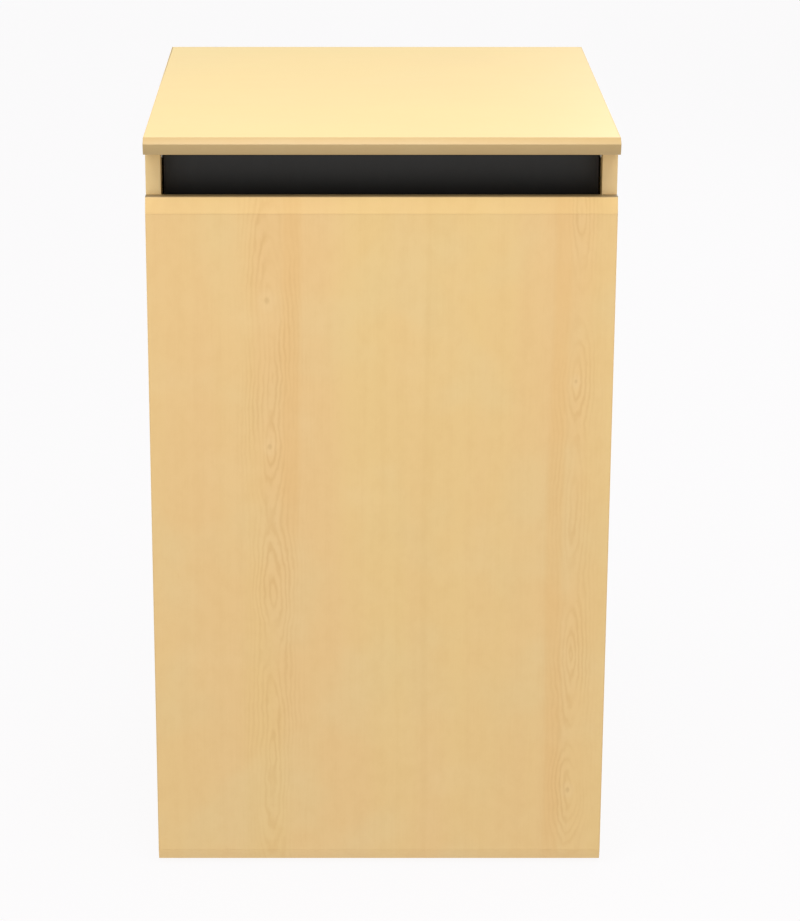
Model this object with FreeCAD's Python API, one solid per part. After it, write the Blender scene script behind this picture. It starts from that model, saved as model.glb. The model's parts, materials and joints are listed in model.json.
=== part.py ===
"""Library book drop box: a laminate cabinet with a flapped slot, and a pull-out book trolley
whose front panel closes the cabinet. Millimetres, +X right, +Y to the back, +Z up.
The origin is on the floor, at the middle of the footprint. One STEP file per sub-part.
"""

import FreeCAD, Part
import math
import os

Vec = FreeCAD.Vector

# ---------------------------------------------------------------- driving dimensions
WIDTH = 559.0
DEPTH = 610.0
HEIGHT = 940.0
BOARD = 18.0                 # cabinet boards
SLOT_HEIGHT = 56.0           # between the front panel's top edge and the top panel
TOP_OVERHANG = 19.0          # top panel in front of the front panel's face
FRONT_REVEAL = 1.5           # front panel's back to the side panels' front edges
FRONT_FLOOR_GAP = 6.5        # under the front panel
BACK_FLOOR_GAP = 8.0
GLIDE_HEIGHT = 5.0
BAND = 1.0                   # edge band thickness
TOP_LIPPING = 10.0           # solid strip along the top panel's front edge
TOP_LIPPING_DROP = 1.5       # the lipping hangs this far below the board
TOP_BEVEL = (9.0, 6.3)       # its upper bevel, back and down
TOP_LEAN = 1.5               # its face leans in by this much towards its lower edge
TOP_UNDERCUT = (2.5, 4.5)    # its lower bevel, back and up
FRONT_TOP_LIPPING = 20.0     # height of the strip on the front panel's top edge
FRONT_BOTTOM_LIPPING = 14.0
BEVEL_TAN = 0.29             # slope of both front lippings
ARRIS = 1.2                  # small bevel that takes off a sharp corner

# Planes of the cabinet
X_OUT = WIDTH / 2
X_IN = X_OUT - BOARD
Y_TOP_FRONT = -DEPTH / 2
Y_FACE = Y_TOP_FRONT + TOP_OVERHANG
Y_FACE_BACK = Y_FACE + BOARD
Y_SIDE_FRONT = Y_FACE_BACK + FRONT_REVEAL
Y_BACK = DEPTH / 2
Y_BACK_IN = Y_BACK - BOARD
Z_UNDER_TOP = HEIGHT - BOARD
Z_SILL = Z_UNDER_TOP - SLOT_HEIGHT

# Flap and chute
FLAP_PIVOT_Y = -242.0
FLAP_PIVOT_Z = Z_UNDER_TOP - 10.0
FLAP_THICK = 6.0
FLAP_BOTTOM = 854.0
FLAP_TAIL = 8.0              # part above the pivot, which meets the stop rail
FLAP_SIDE_GAP = 2.5
KNUCKLE_RADIUS = 5.0
PIVOT_RADIUS = 3.0
BUSH_RADIUS = 5.0
BUSH_LENGTH = 10.0
CHUTE_ANGLE = math.radians(22.0)
CHUTE_LENGTH = 150.0
CHUTE_THICK = 9.0
CHUTE_FRONT_Y = -263.0
CHUTE_FRONT_Z = Z_SILL - 14.0
CLEAT = 15.0

# Trolley
CASTER_HEIGHT = 71.0
TROLLEY_HALF_WIDTH = 250.0
TROLLEY_WALL = 12.0
TROLLEY_REAR_Y = 258.0
TROLLEY_RIM = 760.0
REAR_WALL_TOP = 700.0
Z_BASE_TOP = CASTER_HEIGHT + BOARD
X_WALL_IN = TROLLEY_HALF_WIDTH - TROLLEY_WALL
Y_WALL_FRONT = Y_FACE_BACK + TROLLEY_WALL
Y_WALL_REAR = TROLLEY_REAR_Y - TROLLEY_WALL

# Platform, at its unloaded height
PLATFORM_TOP = 560.0
PLATFORM_THICK = 12.0
PLATFORM_GAP = 4.0           # platform's edge to the trolley walls
PLATFORM_NOTCH = 46.0
MAT_THICK = 4.0
MAT_INSET = (14.0, 4.0)       # mat's edge from the board's, at the sides and at the ends
CROSSBAR_THICK = 4.0
CROSSBAR_HALF = 8.0
SPRING_X = 214.0
SPRING_INSET_Y = 23.0        # spring axis from the front and rear walls
SPRING_RADIUS = 12.0
SPRING_WIRE = 2.0
SPRING_MOUTH = 4.0           # hole left in the coil's closed-in ends
SPRING_EYE = 9.0             # mid-wire radius of the end loops
SPRING_LOW = 556.0
SPRING_HIGH = 742.0

# Casters
CASTER_X = 195.0
CASTER_YS = (-205.0, 200.0)
CASTER_TRAIL = 20.0
WHEEL_RADIUS = 25.0
WHEEL_WIDTH = 20.0
AXLE_RADIUS = 3.0
KINGPIN_RADIUS = 4.0

# Screws and clearances
SCREW_RADIUS = 1.7
SCREW_HEAD_RADIUS = 3.5
SCREW_HEAD_HEIGHT = 2.0
DRILL_CLEARANCE = 0.05
RUNNING_CLEARANCE = 0.05

# Small hardware
SCREW_POINT = 3.0            # tapered end of a screw
HEAD_TAPER = 0.85
HEAD_SOCKET_DEPTH = 1.2
HEAD_SOCKET_ARM = 2.0
HEAD_SOCKET_HALF = 0.4
HOLE_RELIEF = 1.0            # a screw's hole runs past its point
PRESS_CLEARANCE = 0.02
STUD_RADIUS = 2.5
STUD_LENGTH = 20.0
GLIDE_EDGE = 1.5
BUSH_FLANGE_RADIUS = 7.0
BUSH_FLANGE = 1.0
BUMPER_RADIUS = 15.0
BUMPER_BORE = 5.0
BUMPER_SEAT = 8.0
BUMPER_HOLE_CLEARANCE = 0.2
CATCH_DEPTH = 8.0
CATCH_SETBACK = 0.3
CATCH_LENGTH = 34.0
POLE_REACH = 2.0
POLE_HEIGHT = 12.0
STRIKE_THICK = 1.4
TRIM_THICK = 2.0
TRIM_HALF = 6.0
TAB_HALF = 7.0
EYE_RADIUS = 2.5
STOP_BLOCK = (12.0, 40.0, 40.0)
STOP_YS = (-150.0, 140.0)
STOP_GAP = 0.3
PAD_LENGTH = 40.0
PAD_GAP = 0.5
PAD_YS = (-100.0, 95.0)
PAD_XS = (-100.0, 100.0)
PLATE_HALF = 30.0
PLATE_CORNER = 5.0
PLATE_HOLE = 23.0            # plate's centre to its screws
CUP_RADII = (15.0, 18.0)
HUB_RADIUS = 7.0
AXLE_HEAD_RADIUS = 5.5
AXLE_HEAD = 2.5
AXLE_NUT = 3.5
BRACKET_LEG = 30.0
BRACKET_WIDTH = 40.0
BRACKET_THICK = 2.0
BRACKET_HOLE = 18.0          # bracket's corner to its holes
BRACKET_YS = (-90.0, 150.0)
GUIDE_THICK = 8.0
GUIDE_Z = (200.0, 230.0)
GUIDE_Y = (-200.0, 240.0)
BACK_CLEAT = 22.0
BACK_CLEAT_Z = (60.0, 880.0)
BUMPER_X = 150.0
BUMPER_Z = 300.0
BUMPER_LENGTH = Y_BACK_IN - TROLLEY_REAR_Y - 2.0
CATCH_Z = (690.0, 735.0)
RAIL_Z = (Z_UNDER_TOP - 6.0, Z_UNDER_TOP)
RAIL_Y = (FLAP_PIVOT_Y + FLAP_THICK / 2 + 0.5, FLAP_PIVOT_Y + FLAP_THICK / 2 + 12.5)
REAR_RAIL_DEPTH = 70.0
HANGER_Z = 752.0
HANGER_THICK = 2.5
HANGER_HALF = 15.0
SPRING_YS = (Y_WALL_FRONT + SPRING_INSET_Y, Y_WALL_REAR - SPRING_INSET_Y)
GLIDE_YS = (-225.0, 270.0)
GLIDE_RADIUS = 9.0
HANDHOLD_HALF = 60.0
HANDHOLD_Z = 655.0
HANDHOLD_RADIUS = 16.0
PLATE_THICK = 2.5
RACE_BOTTOM = 63.0
FORK_TOP = RACE_BOTTOM - 0.3
FORK_THICK = 3.0
FORK_REACH = (17.0, 14.0)    # the fork's bridge in front of and behind its pin
FORK_SHOULDER = 10.0
FORK_EYE = 8.0               # radius of the leg round the axle
LEG_INSIDE = 12.0
LEG_THICK = 2.0
AXLE_Z = WHEEL_RADIUS
BEARER_HALF = 170.0          # crossbar's wide middle, which carries the board
BEARER_REACH = 40.0

SIDES = {"left": -1, "right": 1}
UP = Vec(0, 0, 1)
FORWARD, BACKWARD = Vec(0, -1, 0), Vec(0, 1, 0)


# ---------------------------------------------------------------- shape helpers
def block(x, y, z):
    """A box between the (low, high) pairs x, y and z."""
    x, y, z = sorted(x), sorted(y), sorted(z)
    return Part.makeBox(x[1] - x[0], y[1] - y[0], z[1] - z[0], Vec(x[0], y[0], z[0]))


def rod(radius, start, end):
    """A cylinder from start to end."""
    return Part.makeCylinder(radius, (end - start).Length, start, end - start)


def prism(outline, x):
    """A solid whose (y, z) outline runs along X between the pair x."""
    points = [Vec(min(x), y, z) for y, z in outline]
    face = Part.Face(Part.makePolygon(points + points[:1]))
    return face.extrude(Vec(abs(x[1] - x[0]), 0, 0))


def turned(outline, centre, axis):
    """A solid turned about axis through centre. outline is (radius, distance along axis) pairs."""
    points = [Vec(radius, 0, along) for radius, along in outline]
    solid = Part.Face(Part.makePolygon(points + points[:1])).revolve(Vec(), UP, 360)
    solid.Placement = FreeCAD.Placement(centre, FreeCAD.Rotation(UP, axis))
    return solid


def bevelled(solid, size, chosen):
    """solid with a bevel on the edges for which chosen(edge middle) is true."""
    edges = [e for e in solid.Edges if chosen(e.CenterOfMass)]
    return solid.makeChamfer(size, edges)


def joined(shapes):
    """One solid from touching shapes."""
    return shapes[0].multiFuse(shapes[1:]).removeSplitter()


# ---------------------------------------------------------------- screws
def pan_screw(seat, into, length):
    """A pan-head screw with its head on the point seat."""
    screw = joined([
        turned([(0, 0), (SCREW_HEAD_RADIUS, 0), (SCREW_HEAD_RADIUS * HEAD_TAPER, -SCREW_HEAD_HEIGHT),
                (0, -SCREW_HEAD_HEIGHT)], Vec(), UP),
        turned([(0, 0), (SCREW_RADIUS, 0), (SCREW_RADIUS, length - SCREW_POINT), (0, length)], Vec(), UP),
    ])
    return placed(screw.cut(cross_recess(-SCREW_HEAD_HEIGHT)), seat, into)


def flush_screw(seat, into, length):
    """A countersunk screw whose head lies flush at the point seat."""
    outline = [(0, 0), (SCREW_HEAD_RADIUS, 0), (SCREW_RADIUS, SCREW_HEAD_HEIGHT),
               (SCREW_RADIUS, length - SCREW_POINT), (0, length)]
    screw = turned(outline, Vec(), UP)
    return placed(screw.cut(cross_recess(0)), seat, into)


def cross_recess(top):
    """The cross-shaped driver recess, cut into a head from the height top."""
    deep = (top, top + HEAD_SOCKET_DEPTH)
    arm, half = (-HEAD_SOCKET_ARM, HEAD_SOCKET_ARM), (-HEAD_SOCKET_HALF, HEAD_SOCKET_HALF)
    return block(arm, half, deep).fuse(block(half, arm, deep))


def pan_hole(seat, into, length):
    return rod(SCREW_RADIUS + DRILL_CLEARANCE, seat - into, seat + into * (length + HOLE_RELIEF))


def flush_hole(seat, into, length):
    c = DRILL_CLEARANCE
    end = length + HOLE_RELIEF
    outline = [(0, 0), (SCREW_HEAD_RADIUS + c, 0), (SCREW_RADIUS + c, SCREW_HEAD_HEIGHT),
               (SCREW_RADIUS + c, end), (0, end)]
    return placed(turned(outline, Vec(), UP), seat, into)


def placed(solid, point, direction):
    """solid, made along +Z at the origin, moved to point and turned to direction."""
    moved = solid.copy()
    moved.Placement = FreeCAD.Placement(point, FreeCAD.Rotation(UP, direction))
    return moved


def drilled(solid, *groups):
    """solid with every hole in the lists cut out of it."""
    flat = [hole for group in groups for hole in group if hole.BoundBox.intersect(solid.BoundBox)]
    return solid.cut(Part.Compound(flat)) if flat else solid


# Where each set of screws goes: (seat, direction, length)
def bracket_screws():
    """Two screws up and two outwards in each top bracket."""
    found = []
    for s in SIDES.values():
        for y in BRACKET_YS:
            for dy in (-11.0, 11.0):
                up = Vec(s * (X_IN - BRACKET_HOLE), y + dy, Z_UNDER_TOP - BRACKET_THICK)
                out = Vec(s * (X_IN - BRACKET_THICK), y + dy, Z_UNDER_TOP - BRACKET_HOLE)
                found += [(up, UP, 16.0), (out, Vec(s, 0, 0), 14.0)]
    return found


def flush_cabinet_screws():
    """Countersunk screws in the cabinet: guide strips, back cleats, stop rail, rear rail."""
    found = []
    for s in SIDES.values():
        out = Vec(s, 0, 0)
        for share in (0.08, 0.5, 0.92):
            y = GUIDE_Y[0] + share * (GUIDE_Y[1] - GUIDE_Y[0])
            found.append((Vec(s * (X_IN - GUIDE_THICK), y, sum(GUIDE_Z) / 2), out, 22.0))
            z = BACK_CLEAT_Z[0] + share * (BACK_CLEAT_Z[1] - BACK_CLEAT_Z[0])
            inner = Vec(s * (X_IN - BACK_CLEAT), Y_BACK_IN - BACK_CLEAT / 2, z - 12)
            found.append((inner, out, 36.0))
            found.append((Vec(s * (X_IN - BACK_CLEAT / 2), Y_BACK_IN - BACK_CLEAT, z + 12), BACKWARD, 36.0))
    for x in (-200.0, 0.0, 200.0):
        found.append((Vec(x, sum(RAIL_Y) / 2, RAIL_Z[0]), UP, 16.0))
        found.append((Vec(x, Y_BACK_IN - REAR_RAIL_DEPTH / 2, Z_UNDER_TOP - BOARD), UP, 32.0))
    return found


def chute_point(along, below=0.0):
    """(y, z) of a point on the chute, along its slope from the front edge and below its face."""
    y = CHUTE_FRONT_Y + along * math.cos(CHUTE_ANGLE) - below * math.sin(CHUTE_ANGLE)
    z = CHUTE_FRONT_Z - along * math.sin(CHUTE_ANGLE) - below * math.cos(CHUTE_ANGLE)
    return y, z


def chute_screws():
    """Countersunk screws from the chute's face into its cleats, and from the cleats into the sides."""
    found = []
    down = Vec(0, -math.sin(CHUTE_ANGLE), -math.cos(CHUTE_ANGLE))
    for s in SIDES.values():
        for along in (30.0, 110.0):
            found.append((Vec(s * (X_IN - CLEAT / 2), *chute_point(along)), down, 20.0))
        for along in (50.0, 90.0):
            seat = Vec(s * (X_IN - CLEAT), *chute_point(along, CHUTE_THICK + CLEAT / 2))
            found.append((seat, Vec(s, 0, 0), 28.0))
    return found


def front_panel_screws():
    """Six screws from inside the trolley that hold the front panel."""
    return [(Vec(x, Y_WALL_FRONT, z), FORWARD, 26.0) for x in (-180.0, 0.0, 180.0) for z in (160.0, 700.0)]


def base_screws():
    """Screws up through the trolley base into its walls."""
    inset = TROLLEY_WALL / 2
    seats = [(s * (TROLLEY_HALF_WIDTH - inset), y) for s in SIDES.values() for y in (-120.0, 0.0, 120.0)]
    seats += [(x, y) for x in (-100.0, 100.0) for y in (Y_FACE_BACK + inset, TROLLEY_REAR_Y - inset)]
    return [(Vec(x, y, CASTER_HEIGHT), UP, 45.0) for x, y in seats]


def caster_screws():
    """Four screws in each caster plate."""
    corners = [(dx, dy) for dx in (-PLATE_HOLE, PLATE_HOLE) for dy in (-PLATE_HOLE, PLATE_HOLE)]
    return [(Vec(s * CASTER_X + dx, y + dy, CASTER_HEIGHT - PLATE_THICK), UP, 15.0)
            for s in SIDES.values() for y in CASTER_YS for dx, dy in corners]


def hanger_screws():
    """One screw through each spring hanger into the wall."""
    return [(Vec(s * (X_WALL_IN - HANGER_THICK), y, HANGER_Z - 16), Vec(s, 0, 0), 11.0)
            for s in SIDES.values() for y in SPRING_YS]


def holes(kind, seats):
    return [kind(*place) for place in seats]


def screw_group(kind, seats):
    return Part.Compound([kind(*place) for place in seats])


# ---------------------------------------------------------------- cabinet
def top_nodes():
    """The top panel, its front lipping and the bands on its other edges."""
    inner_x = X_OUT - BAND
    front = Y_TOP_FRONT + TOP_LIPPING
    core = block((-inner_x, inner_x), (front, Y_BACK - BAND), (Z_UNDER_TOP, HEIGHT))
    core = drilled(core, holes(pan_hole, bracket_screws()), holes(flush_hole, flush_cabinet_screws()))
    low, lean_y = Z_UNDER_TOP - TOP_LIPPING_DROP, Y_TOP_FRONT + TOP_LEAN
    lipping = prism([
        (lean_y, low + TOP_UNDERCUT[1]), (lean_y + TOP_UNDERCUT[0], low), (front, low),
        (front, HEIGHT), (Y_TOP_FRONT + TOP_BEVEL[0], HEIGHT), (Y_TOP_FRONT, HEIGHT - TOP_BEVEL[1]),
    ], (-X_OUT, X_OUT))
    bands = [block((s * inner_x, s * X_OUT), (front, Y_BACK), (Z_UNDER_TOP, HEIGHT)) for s in SIDES.values()]
    bands.append(block((-inner_x, inner_x), (Y_BACK - BAND, Y_BACK), (Z_UNDER_TOP, HEIGHT)))
    return {"top_panel": core, "top_front_lipping": lipping, "top_edge_bands": Part.Compound(bands)}


def side_nodes(name, s):
    """One side panel with its edge bands."""
    z = (GLIDE_HEIGHT, Z_UNDER_TOP)
    panel = block((s * X_IN, s * X_OUT), (Y_SIDE_FRONT + BAND, Y_BACK - BAND), z)
    socket_start = Vec(s * (X_IN - 1), FLAP_PIVOT_Y, FLAP_PIVOT_Z)
    socket_end = Vec(s * (X_IN + BUSH_LENGTH), FLAP_PIVOT_Y, FLAP_PIVOT_Z)
    socket = rod(BUSH_RADIUS + PRESS_CLEARANCE, socket_start, socket_end)
    stud_top = GLIDE_HEIGHT + STUD_LENGTH + HOLE_RELIEF
    stud_places = [Vec(s * (X_IN + BOARD / 2), y, 0) for y in GLIDE_YS]
    studs = [rod(STUD_RADIUS + DRILL_CLEARANCE, place, place + UP * stud_top) for place in stud_places]
    panel = drilled(panel, [socket], studs, holes(pan_hole, bracket_screws()),
                    holes(flush_hole, flush_cabinet_screws()), holes(flush_hole, chute_screws()))
    bands = [block((s * X_IN, s * X_OUT), y, z)
             for y in ((Y_SIDE_FRONT, Y_SIDE_FRONT + BAND), (Y_BACK - BAND, Y_BACK))]
    return {f"{name}_side_panel": panel, f"{name}_side_edge_bands": Part.Compound(bands)}


def back_nodes():
    """The back panel, its corner cleats and the rail under the top panel's rear edge."""
    panel = block((-X_IN, X_IN), (Y_BACK_IN, Y_BACK), (BACK_FLOOR_GAP, Z_UNDER_TOP))
    bumper_pilots = [rod(SCREW_RADIUS + DRILL_CLEARANCE, Vec(s * BUMPER_X, Y_BACK_IN - 1, BUMPER_Z),
                         Vec(s * BUMPER_X, Y_BACK_IN + 14, BUMPER_Z)) for s in SIDES.values()]
    panel = drilled(panel, holes(flush_hole, flush_cabinet_screws()), bumper_pilots)
    rail = block((-X_IN, X_IN), (Y_BACK_IN - REAR_RAIL_DEPTH, Y_BACK_IN), (Z_UNDER_TOP - BOARD, Z_UNDER_TOP))
    rail = drilled(rail, holes(flush_hole, flush_cabinet_screws()))
    cleats = []
    for s in SIDES.values():
        cleat = block((s * (X_IN - BACK_CLEAT), s * X_IN), (Y_BACK_IN - BACK_CLEAT, Y_BACK_IN), BACK_CLEAT_Z)
        corner = Vec(s * (X_IN - BACK_CLEAT), Y_BACK_IN - BACK_CLEAT, sum(BACK_CLEAT_Z) / 2)
        cleat = bevelled(cleat, 2.0, lambda p: (p - corner).Length < 1)
        cleats.append(drilled(cleat, holes(flush_hole, flush_cabinet_screws())))
    return {"back_panel": panel, "rear_top_rail": rail, "back_corner_cleats": Part.Compound(cleats)}


def bracket_group():
    """Steel angles that hold the top panel to the sides."""
    brackets = []
    for s in SIDES.values():
        for y in BRACKET_YS:
            span = (y - BRACKET_WIDTH / 2, y + BRACKET_WIDTH / 2)
            z = Z_UNDER_TOP
            flat = block((s * (X_IN - BRACKET_LEG), s * X_IN), span, (z - BRACKET_THICK, z))
            upright = block((s * (X_IN - BRACKET_THICK), s * X_IN), span, (z - BRACKET_LEG, z))
            brackets.append(drilled(joined([flat, upright]), holes(pan_hole, bracket_screws())))
    return Part.Compound(brackets)


def glide_group():
    """Nylon glides pressed into the side panels' bottom edges by their studs."""
    glides = []
    for s in SIDES.values():
        for y in GLIDE_YS:
            tip = GLIDE_HEIGHT + STUD_LENGTH
            outline = [
                (0, 0), (GLIDE_RADIUS - GLIDE_EDGE, 0), (GLIDE_RADIUS, GLIDE_EDGE),
                (GLIDE_RADIUS, GLIDE_HEIGHT), (STUD_RADIUS, GLIDE_HEIGHT),
                (STUD_RADIUS, tip - GLIDE_EDGE), (STUD_RADIUS - GLIDE_EDGE, tip), (0, tip),
            ]
            glides.append(turned(outline, Vec(s * (X_IN + BOARD / 2), y, 0), UP))
    return Part.Compound(glides)


def chute_nodes():
    """The sloping board that turns a book towards the trolley, on two cleats."""
    front_drop = CHUTE_THICK / math.cos(CHUTE_ANGLE)
    ramp = prism([
        (CHUTE_FRONT_Y, CHUTE_FRONT_Z), chute_point(CHUTE_LENGTH),
        chute_point(CHUTE_LENGTH, CHUTE_THICK), (CHUTE_FRONT_Y, CHUTE_FRONT_Z - front_drop),
    ], (-X_IN + 1, X_IN - 1))
    cleats = [drilled(prism([
        chute_point(12, CHUTE_THICK), chute_point(130, CHUTE_THICK),
        chute_point(130, CHUTE_THICK + CLEAT), chute_point(12, CHUTE_THICK + CLEAT),
    ], (s * (X_IN - CLEAT), s * X_IN)), holes(flush_hole, chute_screws())) for s in SIDES.values()]
    ramp = drilled(ramp, holes(flush_hole, chute_screws()))
    return {"chute_board": ramp, "chute_cleats": Part.Compound(cleats)}


def guide_group():
    """Slippery strips on the side panels that keep the trolley straight."""
    strips = []
    for s in SIDES.values():
        strip = block((s * (X_IN - GUIDE_THICK), s * X_IN), GUIDE_Y, GUIDE_Z)
        ends = bevelled(strip, 6.0, lambda p: abs(abs(p.x) - (X_IN - GUIDE_THICK)) < 0.1
                        and abs(p.z - sum(GUIDE_Z) / 2) < 1)
        strips.append(drilled(ends, holes(flush_hole, flush_cabinet_screws())))
    return Part.Compound(strips)


def bumper_group():
    """Rubber buffers on the back panel that stop the trolley, each with its recessed screw hole."""
    hole = SCREW_RADIUS + BUMPER_HOLE_CLEARANCE
    outline = [
        (hole, 0), (BUMPER_RADIUS, 0), (BUMPER_RADIUS, 3), (BUMPER_RADIUS - 3, BUMPER_LENGTH - 2),
        (BUMPER_RADIUS - 5, BUMPER_LENGTH), (BUMPER_BORE, BUMPER_LENGTH), (BUMPER_BORE, BUMPER_SEAT),
        (hole, BUMPER_SEAT),
    ]
    seats = [Vec(s * BUMPER_X, Y_BACK_IN, BUMPER_Z) for s in SIDES.values()]
    return Part.Compound([turned(outline, seat, FORWARD) for seat in seats])


def bumper_screws():
    """One screw down each buffer's bore into the back panel."""
    return [(Vec(s * BUMPER_X, Y_BACK_IN - BUMPER_SEAT, BUMPER_Z), BACKWARD, 21.0) for s in SIDES.values()]


def catch_nodes():
    """Magnetic catches on the side panels, and the steel strikes on the front panel's back."""
    front = Y_SIDE_FRONT + CATCH_SETBACK
    catches, strikes = [], []
    for s in SIDES.values():
        case_front = front + POLE_REACH
        case = block((s * (X_IN - CATCH_DEPTH), s * X_IN), (case_front, case_front + CATCH_LENGTH), CATCH_Z)
        pole_x = (s * (X_IN - CATCH_DEPTH + 1.5), s * (X_IN - 1.5))
        pole_zs = (CATCH_Z[0] + 7, CATCH_Z[1] - 7 - POLE_HEIGHT)
        poles = [block(pole_x, (front, case_front), (z, z + POLE_HEIGHT)) for z in pole_zs]
        catches.append(joined([case] + poles))
        strikes.append(block((s * (X_IN - CATCH_DEPTH + 0.5), s * (X_IN - 0.5)),
                             (Y_FACE_BACK, Y_FACE_BACK + STRIKE_THICK), (CATCH_Z[0] + 4, CATCH_Z[1] - 4)))
    return {"magnet_catches": Part.Compound(catches), "catch_strikes": Part.Compound(strikes)}


# ---------------------------------------------------------------- flap
def flap_nodes():
    """The flap, the trim on its lower edge and the rod it hangs from."""
    half = X_IN - FLAP_SIDE_GAP
    front, back = FLAP_PIVOT_Y - FLAP_THICK / 2, FLAP_PIVOT_Y + FLAP_THICK / 2
    leaf = block((-half, half), (front, back), (FLAP_BOTTOM, FLAP_PIVOT_Z + FLAP_TAIL))
    pivot_ends = [Vec(x, FLAP_PIVOT_Y, FLAP_PIVOT_Z) for x in (-half, half)]
    knuckle = rod(KNUCKLE_RADIUS, *pivot_ends)
    bore = rod(PIVOT_RADIUS + PRESS_CLEARANCE, *pivot_ends)
    trim_z = (FLAP_BOTTOM - TRIM_HALF, FLAP_BOTTOM + TRIM_HALF)
    trim_outer = block((-half, half), (front - TRIM_THICK, back + TRIM_THICK), trim_z)
    trim_inner = block((-half, half), (front, back), (FLAP_BOTTOM, FLAP_BOTTOM + TRIM_HALF))
    reach = X_IN + BUSH_LENGTH - 1
    pivot = rod(PIVOT_RADIUS, Vec(-reach, FLAP_PIVOT_Y, FLAP_PIVOT_Z), Vec(reach, FLAP_PIVOT_Y, FLAP_PIVOT_Z))
    return {
        "drop_flap": joined([leaf, knuckle]).cut(bore),
        "flap_edge_trim": trim_outer.cut(trim_inner),
        "flap_pivot_rod": pivot,
    }


def bush_group():
    """Flanged nylon bushes in the side panels that carry the flap's rod."""
    bore = PIVOT_RADIUS + RUNNING_CLEARANCE
    end = BUSH_LENGTH - 0.5
    outline = [
        (bore, -BUSH_FLANGE), (BUSH_FLANGE_RADIUS, -BUSH_FLANGE), (BUSH_FLANGE_RADIUS, 0), (BUSH_RADIUS, 0),
        (BUSH_RADIUS, end), (bore, end),
    ]
    return Part.Compound([turned(outline, Vec(s * X_IN, FLAP_PIVOT_Y, FLAP_PIVOT_Z), Vec(s, 0, 0))
                          for s in SIDES.values()])


def stop_rail():
    """The rail under the top panel that the flap's upper edge closes against."""
    rail = block((-X_IN + 2, X_IN - 2), RAIL_Y, RAIL_Z)
    return drilled(rail, holes(flush_hole, flush_cabinet_screws()))


# ---------------------------------------------------------------- trolley
def front_nodes():
    """The panel that closes the cabinet, with its lippings and side bands."""
    z_low = FRONT_FLOOR_GAP + FRONT_BOTTOM_LIPPING
    z_high = Z_SILL - FRONT_TOP_LIPPING
    inner_x = X_OUT - BAND
    core = block((-inner_x, inner_x), (Y_FACE, Y_FACE_BACK), (z_low, z_high))
    core = drilled(core, holes(flush_hole, front_panel_screws()))
    top_setback = (FRONT_TOP_LIPPING - ARRIS) * BEVEL_TAN
    top = prism([
        (Y_FACE, z_high), (Y_FACE + top_setback, Z_SILL - ARRIS), (Y_FACE + top_setback + ARRIS, Z_SILL),
        (Y_FACE_BACK - ARRIS, Z_SILL), (Y_FACE_BACK, Z_SILL - ARRIS), (Y_FACE_BACK, z_high),
    ], (-X_OUT, X_OUT))
    bottom_setback = FRONT_BOTTOM_LIPPING * BEVEL_TAN
    bottom = prism([
        (Y_FACE, z_low), (Y_FACE_BACK, z_low), (Y_FACE_BACK, FRONT_FLOOR_GAP),
        (Y_FACE + bottom_setback, FRONT_FLOOR_GAP),
    ], (-X_OUT, X_OUT))
    bands = [block((s * inner_x, s * X_OUT), (Y_FACE, Y_FACE_BACK), (z_low, z_high)) for s in SIDES.values()]
    return {
        "front_panel": core, "front_top_lipping": top, "front_bottom_lipping": bottom,
        "front_side_bands": Part.Compound(bands),
    }


def trolley_nodes():
    """The trolley's base and its four walls."""
    y = (Y_FACE_BACK, TROLLEY_REAR_Y)
    from_base = holes(flush_hole, base_screws())
    base = block((-TROLLEY_HALF_WIDTH, TROLLEY_HALF_WIDTH), y, (CASTER_HEIGHT, Z_BASE_TOP))
    nodes = {"trolley_base": drilled(base, from_base, holes(pan_hole, caster_screws()))}
    for name, s in SIDES.items():
        wall = block((s * X_WALL_IN, s * TROLLEY_HALF_WIDTH), y, (Z_BASE_TOP, TROLLEY_RIM))
        nodes[f"trolley_{name}_wall"] = drilled(wall, from_base, holes(pan_hole, hanger_screws()))
    front = block((-X_WALL_IN, X_WALL_IN), (Y_FACE_BACK, Y_WALL_FRONT), (Z_BASE_TOP, TROLLEY_RIM))
    nodes["trolley_front_wall"] = drilled(front, from_base, holes(flush_hole, front_panel_screws()))
    rear = block((-X_WALL_IN, X_WALL_IN), (Y_WALL_REAR, TROLLEY_REAR_Y), (Z_BASE_TOP, REAR_WALL_TOP))
    nodes["trolley_rear_wall"] = drilled(rear.cut(handhold()), from_base)
    return nodes


def handhold():
    """The long rounded hole near the top of the rear wall."""
    y = (Y_WALL_REAR - 1, TROLLEY_REAR_Y + 1)
    reach = HANDHOLD_HALF - HANDHOLD_RADIUS
    middle = block((-reach, reach), y, (HANDHOLD_Z - HANDHOLD_RADIUS, HANDHOLD_Z + HANDHOLD_RADIUS))
    ends = [rod(HANDHOLD_RADIUS, Vec(x, y[0], HANDHOLD_Z), Vec(x, y[1], HANDHOLD_Z)) for x in (-reach, reach)]
    return joined([middle] + ends)


def hanger_group():
    """Folded steel brackets near the rim, each with a tab and a hole for a spring's upper loop."""
    hangers = []
    for s in SIDES.values():
        for y in SPRING_YS:
            span = (y - HANGER_HALF, y + HANGER_HALF)
            t = HANGER_THICK
            leg = block((s * (X_WALL_IN - t), s * X_WALL_IN), span, (HANGER_Z - 32, HANGER_Z + t))
            shelf = block((s * (SPRING_X - t / 2), s * X_WALL_IN), span, (HANGER_Z, HANGER_Z + t))
            tab = block((s * (SPRING_X - t / 2), s * (SPRING_X + t / 2)), (y - TAB_HALF, y + TAB_HALF),
                        (SPRING_HIGH - TAB_HALF, HANGER_Z + t))
            eye = loop_hole(Vec(s * SPRING_X, y, SPRING_HIGH))
            hangers.append(drilled(joined([leg, shelf, tab]).cut(eye), holes(pan_hole, hanger_screws())))
    return Part.Compound(hangers)


def loop_hole(centre):
    """The hole in a tab that a spring's loop passes through."""
    return rod(EYE_RADIUS, centre - Vec(TAB_HALF, 0, 0), centre + Vec(TAB_HALF, 0, 0))


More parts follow.
